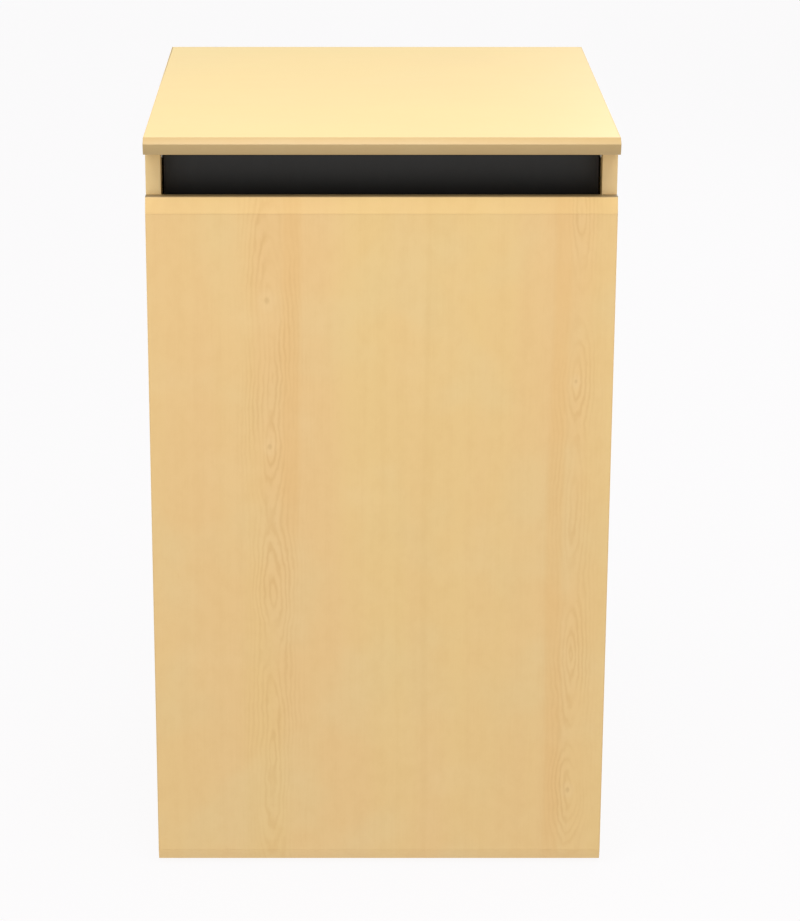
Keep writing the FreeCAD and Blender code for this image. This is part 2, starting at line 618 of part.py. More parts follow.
def spring(s, y):
    """A close-wound extension spring: its coil as a sleeve, and a round loop at each end."""
    x = s * SPRING_X
    wire = SPRING_WIRE / 2
    low, high = SPRING_LOW + SPRING_EYE, SPRING_HIGH - SPRING_EYE
    coil_low, coil_high = low + SPRING_EYE - wire, high - SPRING_EYE + wire
    outer = rod(SPRING_RADIUS, Vec(x, y, coil_low), Vec(x, y, coil_high))
    room_ends = [Vec(x, y, coil_low + SPRING_WIRE), Vec(x, y, coil_high - SPRING_WIRE)]
    room = rod(SPRING_RADIUS - SPRING_WIRE, *room_ends)
    mouth = rod(SPRING_MOUTH, Vec(x, y, coil_low), Vec(x, y, coil_high))
    loops = [Part.makeTorus(SPRING_EYE, wire, Vec(x, y, z), BACKWARD) for z in (low, high)]
    return joined([outer.cut(room).cut(mouth)] + loops)


def stop_blocks():
    """Blocks on the walls that hold the platform down at its unloaded height."""
    thick, length, height = STOP_BLOCK
    low = PLATFORM_TOP + STOP_GAP
    blocks = []
    for s in SIDES.values():
        x = (s * (X_WALL_IN - thick), s * X_WALL_IN)
        blocks += [block(x, (y - length / 2, y + length / 2), (low, low + height)) for y in STOP_YS]
    return Part.Compound(blocks)


# ---------------------------------------------------------------- platform
def platform_nodes():
    """The platform with its mat, crossbars, screws and pads. Each corner is notched round a spring."""
    x_edge = X_WALL_IN - PLATFORM_GAP
    y_low, y_high = Y_WALL_FRONT + PLATFORM_GAP, Y_WALL_REAR - PLATFORM_GAP
    board = block((-x_edge, x_edge), (y_low, y_high), (PLATFORM_TOP - PLATFORM_THICK, PLATFORM_TOP))
    mat_x, mat_y = x_edge - MAT_INSET[0], (y_low + MAT_INSET[1], y_high - MAT_INSET[1])
    mat = block((-mat_x, mat_x), mat_y, (PLATFORM_TOP, PLATFORM_TOP + MAT_THICK))
    notches = []
    for s in SIDES.values():
        for y_edge, inward in ((y_low, 1), (y_high, -1)):
            notches.append(block((s * (x_edge - PLATFORM_NOTCH), s * (x_edge + 1)),
                                 (y_edge - inward, y_edge + inward * PLATFORM_NOTCH), (0, HEIGHT)))
    clear = Part.Compound(notches)
    return {
        "platform_board": drilled(board.cut(clear), holes(flush_hole, crossbar_screws())),
        "platform_mat": mat.cut(clear),
        "platform_crossbars": Part.Compound([crossbar(y) for y in SPRING_YS]),
        "platform_screws": screw_group(flush_screw, crossbar_screws()),
        "platform_glides": platform_glides(x_edge, y_low, y_high),
    }


def crossbar(y):
    """A steel bar under the platform whose upturned ends take the springs' lower loops."""
    low, high = PLATFORM_TOP - PLATFORM_THICK - CROSSBAR_THICK, PLATFORM_TOP - PLATFORM_THICK
    half = SPRING_X + HANGER_THICK / 2
    bar = [block((-half, half), (y - CROSSBAR_HALF, y + CROSSBAR_HALF), (low, high))]
    for s in SIDES.values():
        bar.append(block((s * (SPRING_X - HANGER_THICK / 2), s * half), (y - TAB_HALF, y + TAB_HALF),
                         (low, SPRING_LOW + TAB_HALF)))
    inward = 1 if y < 0 else -1
    bearer_y = (y - inward * CROSSBAR_HALF, y + inward * BEARER_REACH)
    bar.append(block((-BEARER_HALF, BEARER_HALF), bearer_y, (low, high)))
    eyes = [loop_hole(Vec(s * SPRING_X, y, SPRING_LOW)) for s in SIDES.values()]
    return drilled(joined(bar).cut(Part.Compound(eyes)), holes(flush_hole, crossbar_screws()))


def crossbar_screws():
    """Countersunk screws up through the crossbars' wide middle into the platform board."""
    low = PLATFORM_TOP - PLATFORM_THICK - CROSSBAR_THICK
    inward = BEARER_REACH / 2
    return [(Vec(s * x, y + (inward if y < 0 else -inward), low), UP, 14.0)
            for s in SIDES.values() for x in (50.0, 150.0) for y in SPRING_YS]


def platform_glides(x_edge, y_low, y_high):
    """Nylon pads on the platform's edges that slide on the walls."""
    reach = PLATFORM_GAP - PAD_GAP
    half = PAD_LENGTH / 2
    z = (PLATFORM_TOP - PLATFORM_THICK, PLATFORM_TOP)
    pads = [block((s * x_edge, s * (x_edge + reach)), (y - half, y + half), z)
            for s in SIDES.values() for y in PAD_YS]
    for x in PAD_XS:
        pads.append(block((x - half, x + half), (y_low - reach, y_low), z))
        pads.append(block((x - half, x + half), (y_high, y_high + reach), z))
    return Part.Compound(pads)


# ---------------------------------------------------------------- casters
def caster_plates():
    """The fixed upper plates, each with its bearing cup and a bore for the fork's pin."""
    plates = []
    for s in SIDES.values():
        for y in CASTER_YS:
            x = s * CASTER_X
            underside = CASTER_HEIGHT - PLATE_THICK
            h = PLATE_HALF
            plate = block((x - h, x + h), (y - h, y + h), (underside, CASTER_HEIGHT))
            upright = [e for e in plate.Edges if abs(e.CenterOfMass.z - (underside + PLATE_THICK / 2)) < 0.1]
            plate = plate.makeFillet(PLATE_CORNER, upright)
            deep = underside - RACE_BOTTOM
            cup_outline = [(0, 0), (CUP_RADII[0], 0), (CUP_RADII[1], deep), (0, deep)]
            cup = turned(cup_outline, Vec(x, y, RACE_BOTTOM), UP)
            bore = rod(KINGPIN_RADIUS + RUNNING_CLEARANCE, Vec(x, y, 0), Vec(x, y, CASTER_HEIGHT))
            plates.append(drilled(joined([plate, cup]).cut(bore), holes(pan_hole, caster_screws())))
    return Part.Compound(plates)


def caster_fork(x, y):
    """A swivelling fork with its pin. The wheel trails towards the front."""
    axle_y = y - CASTER_TRAIL
    outside = LEG_INSIDE + LEG_THICK
    front, back = y - FORK_REACH[0], y + FORK_REACH[1]
    bridge = block((x - outside, x + outside), (front, back), (FORK_TOP - FORK_THICK, FORK_TOP))
    crown = rod(outside, Vec(x, y, FORK_TOP - FORK_THICK), Vec(x, y, FORK_TOP))
    pin = rod(KINGPIN_RADIUS, Vec(x, y, FORK_TOP - FORK_THICK), Vec(x, y, CASTER_HEIGHT - 0.5))
    shapes = [bridge, crown, pin]
    for s in SIDES.values():
        near, far = x + s * LEG_INSIDE, x + s * outside
        shapes.append(prism([(front, FORK_TOP), (back, FORK_TOP), (back, FORK_TOP - FORK_SHOULDER),
                             (axle_y + 7, AXLE_Z - 4), (axle_y - 7.5, AXLE_Z - 2.5)], (near, far)))
        shapes.append(rod(FORK_EYE, Vec(near, axle_y, AXLE_Z), Vec(far, axle_y, AXLE_Z)))
    bore_ends = [Vec(x + s * 2 * outside, axle_y, AXLE_Z) for s in SIDES.values()]
    bore = rod(AXLE_RADIUS + PRESS_CLEARANCE, *bore_ends)
    return joined(shapes).cut(bore)


def caster_axle(x, y):
    """The axle bolt, with its head on one side and its nut on the other."""
    centre = Vec(x, y - CASTER_TRAIL, AXLE_Z)
    outside = LEG_INSIDE + LEG_THICK
    shaft = rod(AXLE_RADIUS, centre - Vec(outside + AXLE_NUT + 0.5, 0, 0), centre + Vec(outside + 1, 0, 0))
    head = turned([(0, 0), (AXLE_HEAD_RADIUS, 0), (AXLE_HEAD_RADIUS - 1, AXLE_HEAD), (0, AXLE_HEAD)],
                  centre + Vec(outside, 0, 0), Vec(1, 0, 0))
    reach, sixths = AXLE_HEAD_RADIUS, [turn * math.pi / 3 for turn in range(6)]
    corners = [(centre.y + reach * math.cos(a), centre.z + reach * math.sin(a)) for a in sixths]
    nut = prism(corners, (centre.x - outside - AXLE_NUT, centre.x - outside))
    return joined([shaft, head, nut])


def caster_wheel(x, y):
    """A wheel with a rounded tread, dished sides and a hub."""
    centre = Vec(x, y - CASTER_TRAIL, AXLE_Z)
    half, bore = WHEEL_WIDTH / 2, AXLE_RADIUS + RUNNING_CLEARANCE
    dish = half - 3
    right = [
        (WHEEL_RADIUS, half - 4), (WHEEL_RADIUS - 2, half), (WHEEL_RADIUS - 5, half),
        (WHEEL_RADIUS - 7, dish), (HUB_RADIUS, dish), (HUB_RADIUS, half + 1), (bore, half + 1),
    ]
    left = [(radius, -along) for radius, along in reversed(right)]
    return turned(left + right, centre, Vec(1, 0, 0))


def caster_nodes():
    nodes = {"caster_plates": caster_plates()}
    for side_name, s in SIDES.items():
        for end_name, y in zip(("front", "rear"), CASTER_YS):
            place = f"{end_name}_{side_name}"
            x = s * CASTER_X
            nodes[f"fork_{place}"] = caster_fork(x, y)
            nodes[f"axle_{place}"] = caster_axle(x, y)
            nodes[f"wheel_{place}"] = caster_wheel(x, y)
    return nodes


# ---------------------------------------------------------------- assembly
def all_nodes():
    nodes = {}
    nodes.update(top_nodes())
    for name, s in SIDES.items():
        nodes.update(side_nodes(name, s))
    nodes.update(back_nodes())
    nodes["top_brackets"] = bracket_group()
    nodes["floor_glides"] = glide_group()
    nodes.update(chute_nodes())
    nodes["guide_strips"] = guide_group()
    nodes["rear_bumpers"] = bumper_group()
    nodes.update(catch_nodes())
    nodes.update(flap_nodes())
    nodes["flap_bushes"] = bush_group()
    nodes["flap_stop_rail"] = stop_rail()
    nodes["cabinet_pan_screws"] = screw_group(pan_screw, bracket_screws() + bumper_screws())
    nodes["cabinet_flush_screws"] = screw_group(flush_screw, flush_cabinet_screws() + chute_screws())
    nodes.update(front_nodes())
    nodes.update(trolley_nodes())
    nodes["trolley_flush_screws"] = screw_group(flush_screw, base_screws() + front_panel_screws())
    nodes["trolley_pan_screws"] = screw_group(pan_screw, caster_screws() + hanger_screws())
    nodes["spring_hangers"] = hanger_group()
    nodes["platform_stops"] = stop_blocks()
    for side_name, s in SIDES.items():
        for end_name, y in zip(("front", "rear"), SPRING_YS):
            nodes[f"spring_{end_name}_{side_name}"] = spring(s, y)
    nodes.update(platform_nodes())
    nodes.update(caster_nodes())
    return nodes


os.makedirs("parts", exist_ok=True)
made = all_nodes()
for node, shape in made.items():
    shape.exportStep(f"parts/{node}.step")
print(len(made), "nodes")
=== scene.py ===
"""A library book drop box: finishes, rounded edges, springs and fittings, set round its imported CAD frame.

Metres, +Z up. The front faces -Y and +X is to its right. Every finish is worked out on object coordinates, so
grain and wear stay on a board when it moves.
"""

import json
import math

import bpy
from mathutils import Matrix, Vector


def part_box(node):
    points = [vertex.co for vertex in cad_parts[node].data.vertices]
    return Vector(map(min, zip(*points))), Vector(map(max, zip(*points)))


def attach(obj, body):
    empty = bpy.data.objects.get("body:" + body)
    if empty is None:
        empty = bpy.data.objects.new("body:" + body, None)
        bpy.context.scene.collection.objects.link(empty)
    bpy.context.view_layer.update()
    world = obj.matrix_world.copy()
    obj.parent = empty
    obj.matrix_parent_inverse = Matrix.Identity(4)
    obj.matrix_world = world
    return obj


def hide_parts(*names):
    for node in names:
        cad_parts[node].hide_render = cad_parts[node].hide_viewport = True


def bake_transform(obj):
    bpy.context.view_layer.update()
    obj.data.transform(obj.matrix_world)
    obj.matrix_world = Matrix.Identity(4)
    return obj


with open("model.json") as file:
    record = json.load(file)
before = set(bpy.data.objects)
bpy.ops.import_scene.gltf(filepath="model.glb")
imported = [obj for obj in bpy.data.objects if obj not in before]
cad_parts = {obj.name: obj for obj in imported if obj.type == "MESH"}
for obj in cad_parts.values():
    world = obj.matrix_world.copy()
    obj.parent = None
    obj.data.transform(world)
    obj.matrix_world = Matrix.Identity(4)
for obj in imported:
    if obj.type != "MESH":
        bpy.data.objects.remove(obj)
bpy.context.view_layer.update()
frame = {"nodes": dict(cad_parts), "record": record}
slot_of = {s["node"]: s["material_slot"] for s in frame["record"]["subparts"]}
body_of = {n: b for b, ns in frame["record"]["behaviour"]["bodies"].items() for n in ns}

MM = 0.001
CORNERS = [f"{end}_{side}" for side in ("left", "right") for end in ("front", "rear")]


# ---------------------------------------------------------------- camera, floor and light
CAMERA_PLACE = (-0.0413, -3.6495, 1.6423)
CAMERA_TILT = math.radians(17.689)
CAMERA_LENS = 113.98
CAMERA_SHIFT = (0.0580, -0.0256)
SENSOR_WIDTH = 36
BACKDROP_WHITE = (0.957, 0.951, 0.957, 1)
ROOM_LIGHT = 0.50
FLOOR_GLOW = 0.965
FLOOR_SIZE = 30


def camera():
    data = bpy.data.cameras.new("camera")
    data.sensor_width = SENSOR_WIDTH
    data.lens = CAMERA_LENS
    data.shift_x, data.shift_y = CAMERA_SHIFT
    held = bpy.data.objects.new("camera", data)
    held.location = CAMERA_PLACE
    held.rotation_euler = (math.pi / 2 - CAMERA_TILT, 0, 0)
    bpy.context.scene.collection.objects.link(held)
    bpy.context.scene.camera = held


def softbox(name, place, size, power, aim=(0, 0, 0.5)):
    data = bpy.data.lights.new(name, "AREA")
    data.shape = "RECTANGLE"
    data.size, data.size_y = size
    data.energy = power
    lamp = bpy.data.objects.new(name, data)
    lamp.location = place
    lamp.rotation_euler = (Vector(aim) - Vector(place)).to_track_quat("-Z", "Y").to_euler()
    bpy.context.scene.collection.objects.link(lamp)


def studio():
    scene = bpy.context.scene
    scene.view_settings.view_transform = "Standard"
    world = bpy.data.worlds.new("studio")
    scene.world = world
    world.use_nodes = True
    room = Part(world.node_tree)
    world.node_tree.nodes.clear()
    seen = room.node("ShaderNodeBackground", {"Color": BACKDROP_WHITE, "Strength": 1.0})
    lit = room.node("ShaderNodeBackground", {"Color": (1, 0.995, 0.985, 1), "Strength": ROOM_LIGHT})
    direct = room.node("ShaderNodeLightPath", give="Is Camera Ray")
    both = room.node("ShaderNodeMixShader", {0: direct, 1: lit, 2: seen})
    room.node("ShaderNodeOutputWorld", {"Surface": both})
    softbox("overhead", (-0.1, -1.15, 3.4), (3.0, 2.4), 86, (0, 0.0, 0.6))
    softbox("front_fill", (-0.5, -4.4, 1.5), (3.0, 2.4), 10)
    softbox("back_fill", (1.8, 3.4, 2.2), (2.6, 2.2), 24)


# ---------------------------------------------------------------- shader sums
class Part:
    """One socket in a node tree. Sums on it add Math nodes, and node() adds any other node."""

    def __init__(self, tree, socket=None):
        self.tree = tree
        self.socket = socket

    def node(self, kind, values=None, give=0, stops=None, **settings):
        """A new node's output give. Its settings and ramp stops are set before its input values or links."""
        made = self.tree.nodes.new(kind)
        for name, setting in settings.items():
            setattr(made, name, setting)
        for place, (at, colour) in enumerate(stops or ()):
            ramp = made.color_ramp.elements
            stop = ramp[place] if place < 2 else ramp.new(at)
            stop.position, stop.color = at, (*colour, 1)
        for name, value in (values or {}).items():
            if isinstance(value, Part):
                self.tree.links.new(value.socket, made.inputs[name])
            else:
                made.inputs[name].default_value = value
        return Part(self.tree, made.outputs[give] if made.outputs else None)

    def math(self, operation, *values):
        return self.node("ShaderNodeMath", dict(enumerate(values)), operation=operation)

    def __add__(self, other):
        return self.math("ADD", self, other)

    def __sub__(self, other):
        return self.math("SUBTRACT", self, other)

    def __rsub__(self, other):
        return self.math("SUBTRACT", other, self)

    def __mul__(self, other):
        return self.math("MULTIPLY", self, other)

    def __truediv__(self, other):
        return self.math("DIVIDE", self, other)

    def __pow__(self, other):
        return self.math("POWER", self, other)

    def __abs__(self):
        return self.math("ABSOLUTE", self)

    __radd__, __rmul__ = __add__, __mul__

    def between(self, low, high):
        """0 below low and 1 above high, with a smooth step between. low may be the larger."""
        return self.node("ShaderNodeMapRange", {"Value": self, "From Min": low, "From Max": high},
                         interpolation_type="SMOOTHSTEP")

    def mixed(self, share, first, second):
        """The colour first, going to second as share goes from 0 to 1."""
        pair = {"Factor": share, 6: rgb(first), 7: rgb(second)}
        return self.node("ShaderNodeMix", pair, give=2, data_type="RGBA")


def rgb(colour):
    return colour if isinstance(colour, Part) else (*colour, 1)


class Finish(Part):
    """A new material's tree, with the object coordinates x, y and z in metres."""

    def __init__(self, name):
        self.material = bpy.data.materials.new(name)
        self.material.use_nodes = True
        super().__init__(self.material.node_tree)
        self.tree.nodes.clear()
        place = self.node("ShaderNodeTexCoord", give="Object")
        split = self.tree.nodes.new("ShaderNodeSeparateXYZ")
        self.tree.links.new(place.socket, split.inputs[0])
        self.x, self.y, self.z = (Part(self.tree, split.outputs[i]) for i in range(3))
        facing = self.node("ShaderNodeTexCoord", give="Normal")
        split = self.tree.nodes.new("ShaderNodeSeparateXYZ")
        self.tree.links.new(facing.socket, split.inputs[0])
        self.faces = dict(zip("xyz", (abs(Part(self.tree, split.outputs[i])) for i in range(3))))

    def axis(self, letter):
        return getattr(self, letter)

    def noise(self, place, detail=2.0, rough=0.5, seed=0.0):
        """Noise from 0 to 1 at place, which is three numbers or links in noise cells."""
        spot = self.node("ShaderNodeCombineXYZ", dict(enumerate(place)))
        values = {"Vector": spot, "W": seed, "Scale": 1.0, "Detail": detail, "Roughness": rough}
        return self.node("ShaderNodeTexNoise", values, give="Fac", noise_dimensions="4D")

    def blotches(self, size, detail=2.0, seed=0.0):
        """Noise whose patches are about size across in every direction."""
        return self.noise((self.x / size, self.y / size, self.z / size), detail, seed=seed)

    def done(self, colour, roughness, height=None, depth=0.0001, strength=0.3, **constants):
        """Ends the tree in one shader. height lifts the surface by up to depth.

        constants are by socket name, with an underscore for each space.
        """
        values = {"Base Color": rgb(colour), "Roughness": roughness}
        if height is not None:
            bump = {"Height": height, "Distance": depth, "Strength": strength}
            values["Normal"] = self.node("ShaderNodeBump", bump)
        values.update({name.replace("_", " "): value for name, value in constants.items()})
        shader = self.node("ShaderNodeBsdfPrincipled", values)
        self.node("ShaderNodeOutputMaterial", {"Surface": shader})
        return self.material


# ---------------------------------------------------------------- maple finishes
MAPLE_YELLOW = (0.790, 0.548, 0.226)
MAPLE_PINK = (0.790, 0.526, 0.228)
MAPLE_PALE = (0.850, 0.650, 0.340)
# a bright orange mixed into the front's top lipping as painted light on its sloped top
MAPLE_PAINTED_LIGHT = (0.960, 0.660, 0.270)
# a pale cream mixed into the worktop: partly its own paler tone, partly painted light making the top brighter
# than the front
MAPLE_CREAM_PAINTED_LIGHT = (0.900, 0.740, 0.360)
MAPLE_GREEN = (0.755, 0.585, 0.285)
MAPLE_ORANGE = (0.760, 0.450, 0.160)
MAPLE_DEEP = (0.600, 0.315, 0.090)
MAPLE_KNOT = (0.440, 0.210, 0.060)
# the dark brown mixed in as painted shade under the worktop and on the sill, and to darken the worktop
# lipping
MAPLE_DARKENING_BROWN = (0.130, 0.095, 0.045)
LINE_PITCH = 0.0050           # from one growth line to the next
SIDE_EYES = [(0.84, 8), (0.52, 7), (0.17, 11)]


class Heart:
    """A column of cathedral grain at u across a board.

    Its growth lines nest round eyes, each (along, stretch).
    """

    def __init__(self, u, eyes, reach=0.024, strength=0.20):
        self.u, self.eyes, self.reach, self.strength = u, eyes, reach, strength

    def mark(self, wood, u, v, seed):
        """How dark its growth lines are. They close above and below each eye and run straight beside it."""
        sway = (wood.noise((v * 3.5, 0, 0), 2.5, seed=seed) - 0.5) * 0.032
        ripple = (wood.noise((u * 46, v * 20, 0), 3, 0.6, seed=seed + 0.3) - 0.5) * 0.0125
        span = u - self.u + sway
        away = None
        for along, stretch in self.eyes:
            rise = (v - along) / stretch
            reach = wood.math("SQRT", span * span + rise * rise + 0.000001)
            away = reach if away is None else wood.math("SMOOTH_MIN", away, reach, 0.010)
        rings = (away + ripple) / LINE_PITCH
        line = (wood.math("COSINE", rings * (2 * math.pi)) * 0.5 + 0.5) ** 1.6
        fade = wood.math("DIVIDE", 1.0, (away / self.reach) ** 4 + 1.0)
        uneven = wood.noise((u * 30, v * 6.0, 0), 2, seed=seed + 0.9).between(0.36, 0.66)
        return line * fade * (uneven * 0.85 + 0.15) * self.strength


def maple(name, across, along, seed=0.0, hearts=(), knots=(), bands=(), darkenings=(), stripe=None, tint=None,
          contrast=1.0, sheen=0.40):
    """Satin maple whose grain runs along one axis.

    hearts are its cathedral columns. knots are (across, along, size).
    bands are orange ones: (across, half width, lowest place along, strength).
    Darkened parts are mixed towards a dark brown, given as (axis, untouched at, dark at, strength); they are
    painted shade, save the worktop lipping's darker tone.
    stripe is where one soft dark line runs. tint is a colour and its share of the whole.
    """
    wood = Finish(name)
    u, v = wood.axis(across), wood.axis(along)
    wander = (wood.noise((u * 2, v * 1.6, 0), 1, seed=seed + 1) - 0.5) * 0.018
    bent = u + wander
    broad = wood.noise((bent * 9, v * 0.5, 0), 2.5, seed=seed + 5)
    fine_bands = wood.noise((bent * 60, v * 0.9, 0), 2, seed=seed + 12)
    cloud = wood.noise((u * 9, v * 13, 0), 2, seed=seed + 6)
    patch = wood.noise((u * 7, v * 6, 0), 2, seed=seed + 7)
    fibre = wood.noise((u * 900, v * 9, 0), 3, 0.7, seed=seed + 8)
    pores = wood.noise((u * 1500, v * 110, 0), 1, seed=seed + 9).between(0.66, 0.78)
    fleck = wood.noise((u * 260, v * 42, 0), 1, seed=seed + 10).between(0.70, 0.80)

    colour = wood.mixed(broad.between(0.36, 0.64), MAPLE_YELLOW, MAPLE_PINK)
    colour = wood.mixed(cloud.between(0.45, 0.80) * (0.16 * contrast), colour, MAPLE_PALE)
    colour = wood.mixed(patch.between(0.46, 0.66) * (0.30 * contrast), colour, MAPLE_GREEN)
    for band_u, half, low, strength in bands:
        inside = abs(bent - band_u).between(half, half * 0.35) * v.between(low - 0.05, low + 0.08)
        colour = wood.mixed(inside * strength, colour, MAPLE_ORANGE)
    silk = wood.noise((u * 60, v * 44, 0), 3, 0.65, seed=seed + 13)
    deep = (fibre - 0.5) * 0.16 + (fine_bands - 0.5) * 0.20 + (silk - 0.5) * 0.30
    deep = deep + pores * 0.09 + fleck * 0.05 + 0.03
    for place, heart in enumerate(hearts):
        deep = deep + heart.mark(wood, u, v, seed + 20 + place)
    if stripe is not None:
        deep = deep + abs(bent - stripe).between(0.0060, 0.0010) * 0.06
    colour = wood.mixed(deep * contrast, colour, MAPLE_DEEP)
    for knot_u, knot_v, size in knots:
        du, dv = (u - knot_u) / size, (v - knot_v) / (size * 1.35)
        away = wood.math("SQRT", du * du + dv * dv) + (cloud - 0.5) * 0.7
        colour = wood.mixed(away.between(3.2, 1.4) * 0.14, colour, MAPLE_PALE)
        colour = wood.mixed(away.between(1.1, 0.3) * 0.24, colour, MAPLE_KNOT)
    if tint:
        colour = wood.mixed(tint[1], colour, tint[0])
    # painted shade, and the worktop lipping's darker tone, mixed towards a dark brown
    for letter, untouched, dark, strength in darkenings:
        colour = wood.mixed(wood.axis(letter).between(untouched, dark) * strength, colour, MAPLE_DARKENING_BROWN)
    handled = wood.blotches(0.13, 3, seed)
    roughness = handled * 0.10 + (fibre - 0.5) * 0.10 + pores * 0.10 + (sheen - 0.05)
    height = fibre * 0.6 - pores * 0.8
    return wood.done(colour, roughness, height, depth=0.06 * MM, strength=0.35)


def plywood(name, thick, low, ply, across, along, seed):
    """Birch plywood with its plies showing on its edges.

    thick is the axis through it, low is its lowest place on that axis, and ply is one ply's thickness.
    """
    wood = Finish(name)
    u, v, through = wood.axis(across), wood.axis(along), wood.axis(thick)
    fibre = wood.noise((u * 700, v * 8, 0), 3, 0.7, seed=seed)
    rings = wood.noise((u * 22, v * 1.2, 0), 3, seed=seed + 1)
    line = (wood.math("COSINE", rings * 55) * 0.5 + 0.5) ** 2.0
    face = wood.mixed(rings, (0.66, 0.47, 0.25), (0.74, 0.56, 0.33))
    face = wood.mixed(line * 0.14 + (fibre - 0.5) * 0.22 + 0.03, face, (0.36, 0.20, 0.08))
    layer = (through - low) / ply
    odd = wood.math("FLOORED_MODULO", layer, 2.0).between(0.96, 1.04)
    glue = abs(wood.math("FLOORED_MODULO", layer, 1.0) - 0.5).between(0.43, 0.49)
    ends = wood.noise((u * 900, v * 900, through * 900), 2, seed=seed + 2)
    edge = wood.mixed(odd, (0.72, 0.54, 0.32), (0.40, 0.25, 0.12))
    edge = wood.mixed((ends - 0.5) * 0.5 + 0.08, edge, (0.22, 0.12, 0.05))
    edge = wood.mixed(glue * 0.75, edge, (0.13, 0.07, 0.03))
    colour = wood.mixed(wood.faces[thick].between(0.25, 0.6), edge, face)
    scuff = wood.blotches(0.05, 4, seed + 3)
    roughness = scuff * 0.15 + fibre * 0.12 + 0.36
    return wood.done(colour, roughness, fibre, depth=0.08 * MM, strength=0.35)


# ---------------------------------------------------------------- other finishes
STAIN = 0.35                  # most of the dull colour in a stained patch


def metal(name, colour, dull, roughness=0.30, grain=None):
    """Plated or drawn steel with cloudy patches. grain is the axis that its drawing lines run along."""
    steel = Finish(name)
    cloud = steel.blotches(0.018, 4, 3.0)
    fine = steel.blotches(0.0008, 2, 5.0)
    if grain:
        scale = {a: (8 if a == grain else 2600) for a in "xyz"}
        fine = steel.noise([steel.axis(a) * scale[a] for a in "xyz"], 2, seed=6.0)
    mixed = steel.mixed(cloud.between(0.40, 0.75) * STAIN, colour, dull)
    rough = cloud * 0.16 + (fine - 0.5) * 0.14 + (roughness - 0.06)
    return steel.done(mixed, rough, fine, depth=0.02 * MM, strength=0.25, Metallic=1.0)


def moulded(name, colour, worn, roughness, grit=0.0006, wear=0.25, depth=0.05):
    """Moulded plastic or rubber with a fine grain and pale dusty wear."""
    plastic = Finish(name)
    fine = plastic.blotches(grit, 2, 1.0)
    cloud = plastic.blotches(0.030, 4, 2.0)
    mixed = plastic.mixed(cloud.between(0.45, 0.80) * wear + (fine - 0.5) * 0.10, colour, worn)
    rough = cloud * 0.14 + (fine - 0.5) * 0.16 + (roughness - 0.06)
    return plastic.done(mixed, rough, fine, depth=depth * MM, strength=0.4)


def flap_black():
    """Matt black sheet with a fine grain, rubbed by books along its lower half."""
    black = Finish("flap_black")
    low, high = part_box("drop_flap")
    grain = black.blotches(0.0007, 2, 1.0)
    rubbed = black.noise((black.x * 26, black.z * 7, 0), 4, 0.6, seed=2.0)
    scratch = black.noise((black.x * 420, black.z * 9, 0), 2, seed=3.0).between(0.70, 0.80)
    lower = black.z.between(high.z - 0.03, low.z)
    marks = rubbed.between(0.5, 0.8) * 0.10 + scratch * lower * 0.10
    mixed = black.mixed(marks, (0.0150, 0.0150, 0.0152), (0.10, 0.10, 0.10))
    rough = (grain - 0.5) * 0.2 + rubbed * 0.16 + 0.52
    return black.done(mixed, rough, grain, depth=0.05 * MM, strength=0.4)


def chute_dark():
    """Smooth dark laminate with long pale slide marks down its slope."""
    dark = Finish("chute_dark")
    slide = dark.noise((dark.x * 260, dark.y * 5, 0), 3, seed=4.0).between(0.55, 0.80)
    cloud = dark.blotches(0.05, 4, 5.0)
    mixed = dark.mixed(slide * 0.22 + cloud * 0.08, (0.040, 0.037, 0.034), (0.20, 0.18, 0.16))
    return dark.done(mixed, cloud * 0.15 + slide * 0.12 + 0.25, slide, depth=0.03 * MM)


def floor_white():
    """A plain pale studio floor."""
    pale = Finish("floor_white")
    speck = pale.blotches(0.004, 3, 2.0)
    colour = pale.mixed(speck, (0.037, 0.036, 0.037), (0.043, 0.042, 0.043))
    glow = {"Emission_Color": BACKDROP_WHITE, "Emission_Strength": FLOOR_GLOW}
    return pale.done(colour, speck * 0.1 + 0.75, Specular_IOR_Level=0.1, **glow)


def board_span(node, axis):
    """A node's lowest place and its thickness along one axis."""
    low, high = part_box(node)
    return getattr(low, axis), getattr(high, axis) - getattr(low, axis)


def front_figure():
    """The figure that the front panel shares with its two lippings."""
    low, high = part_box("front_panel")
    wide, tall = high.x - low.x, high.z - low.z
    main_u, edge_u = low.x + 0.262 * wide, low.x + 0.925 * wide

    def up(share):
        return low.z + share * tall

    main_eyes = [(up(0.87), 5), (up(0.76), 11), (up(0.66), 5), (up(0.42), 5), (up(0.16), 9)]
    edge_eyes = [(up(1.00), 6), (up(0.75), 5), (up(0.56), 8), (up(0.32), 6), (up(0.10), 4)]
    return {
        "hearts": (Heart(main_u, main_eyes, 0.028, 0.30), Heart(edge_u, edge_eyes, 0.021, 0.30)),
        "knots": [
            (main_u - 0.004, up(0.872), 0.0045), (main_u - 0.002, up(0.650), 0.0035),
            (edge_u - 0.002, up(0.750), 0.0028), (edge_u, up(0.100), 0.0035),
        ],
        "bands": [
            (low.x + 0.305 * wide, 0.016, up(0.50), 0.32), (low.x + 0.888 * wide, 0.014, 0.0, 0.28),
            (low.x + 0.250 * wide, 0.030, -1.0, 0.08), (low.x + 0.940 * wide, 0.012, -1.0, 0.08),
        ],
        "stripe": low.x + 0.60 * wide,
    }


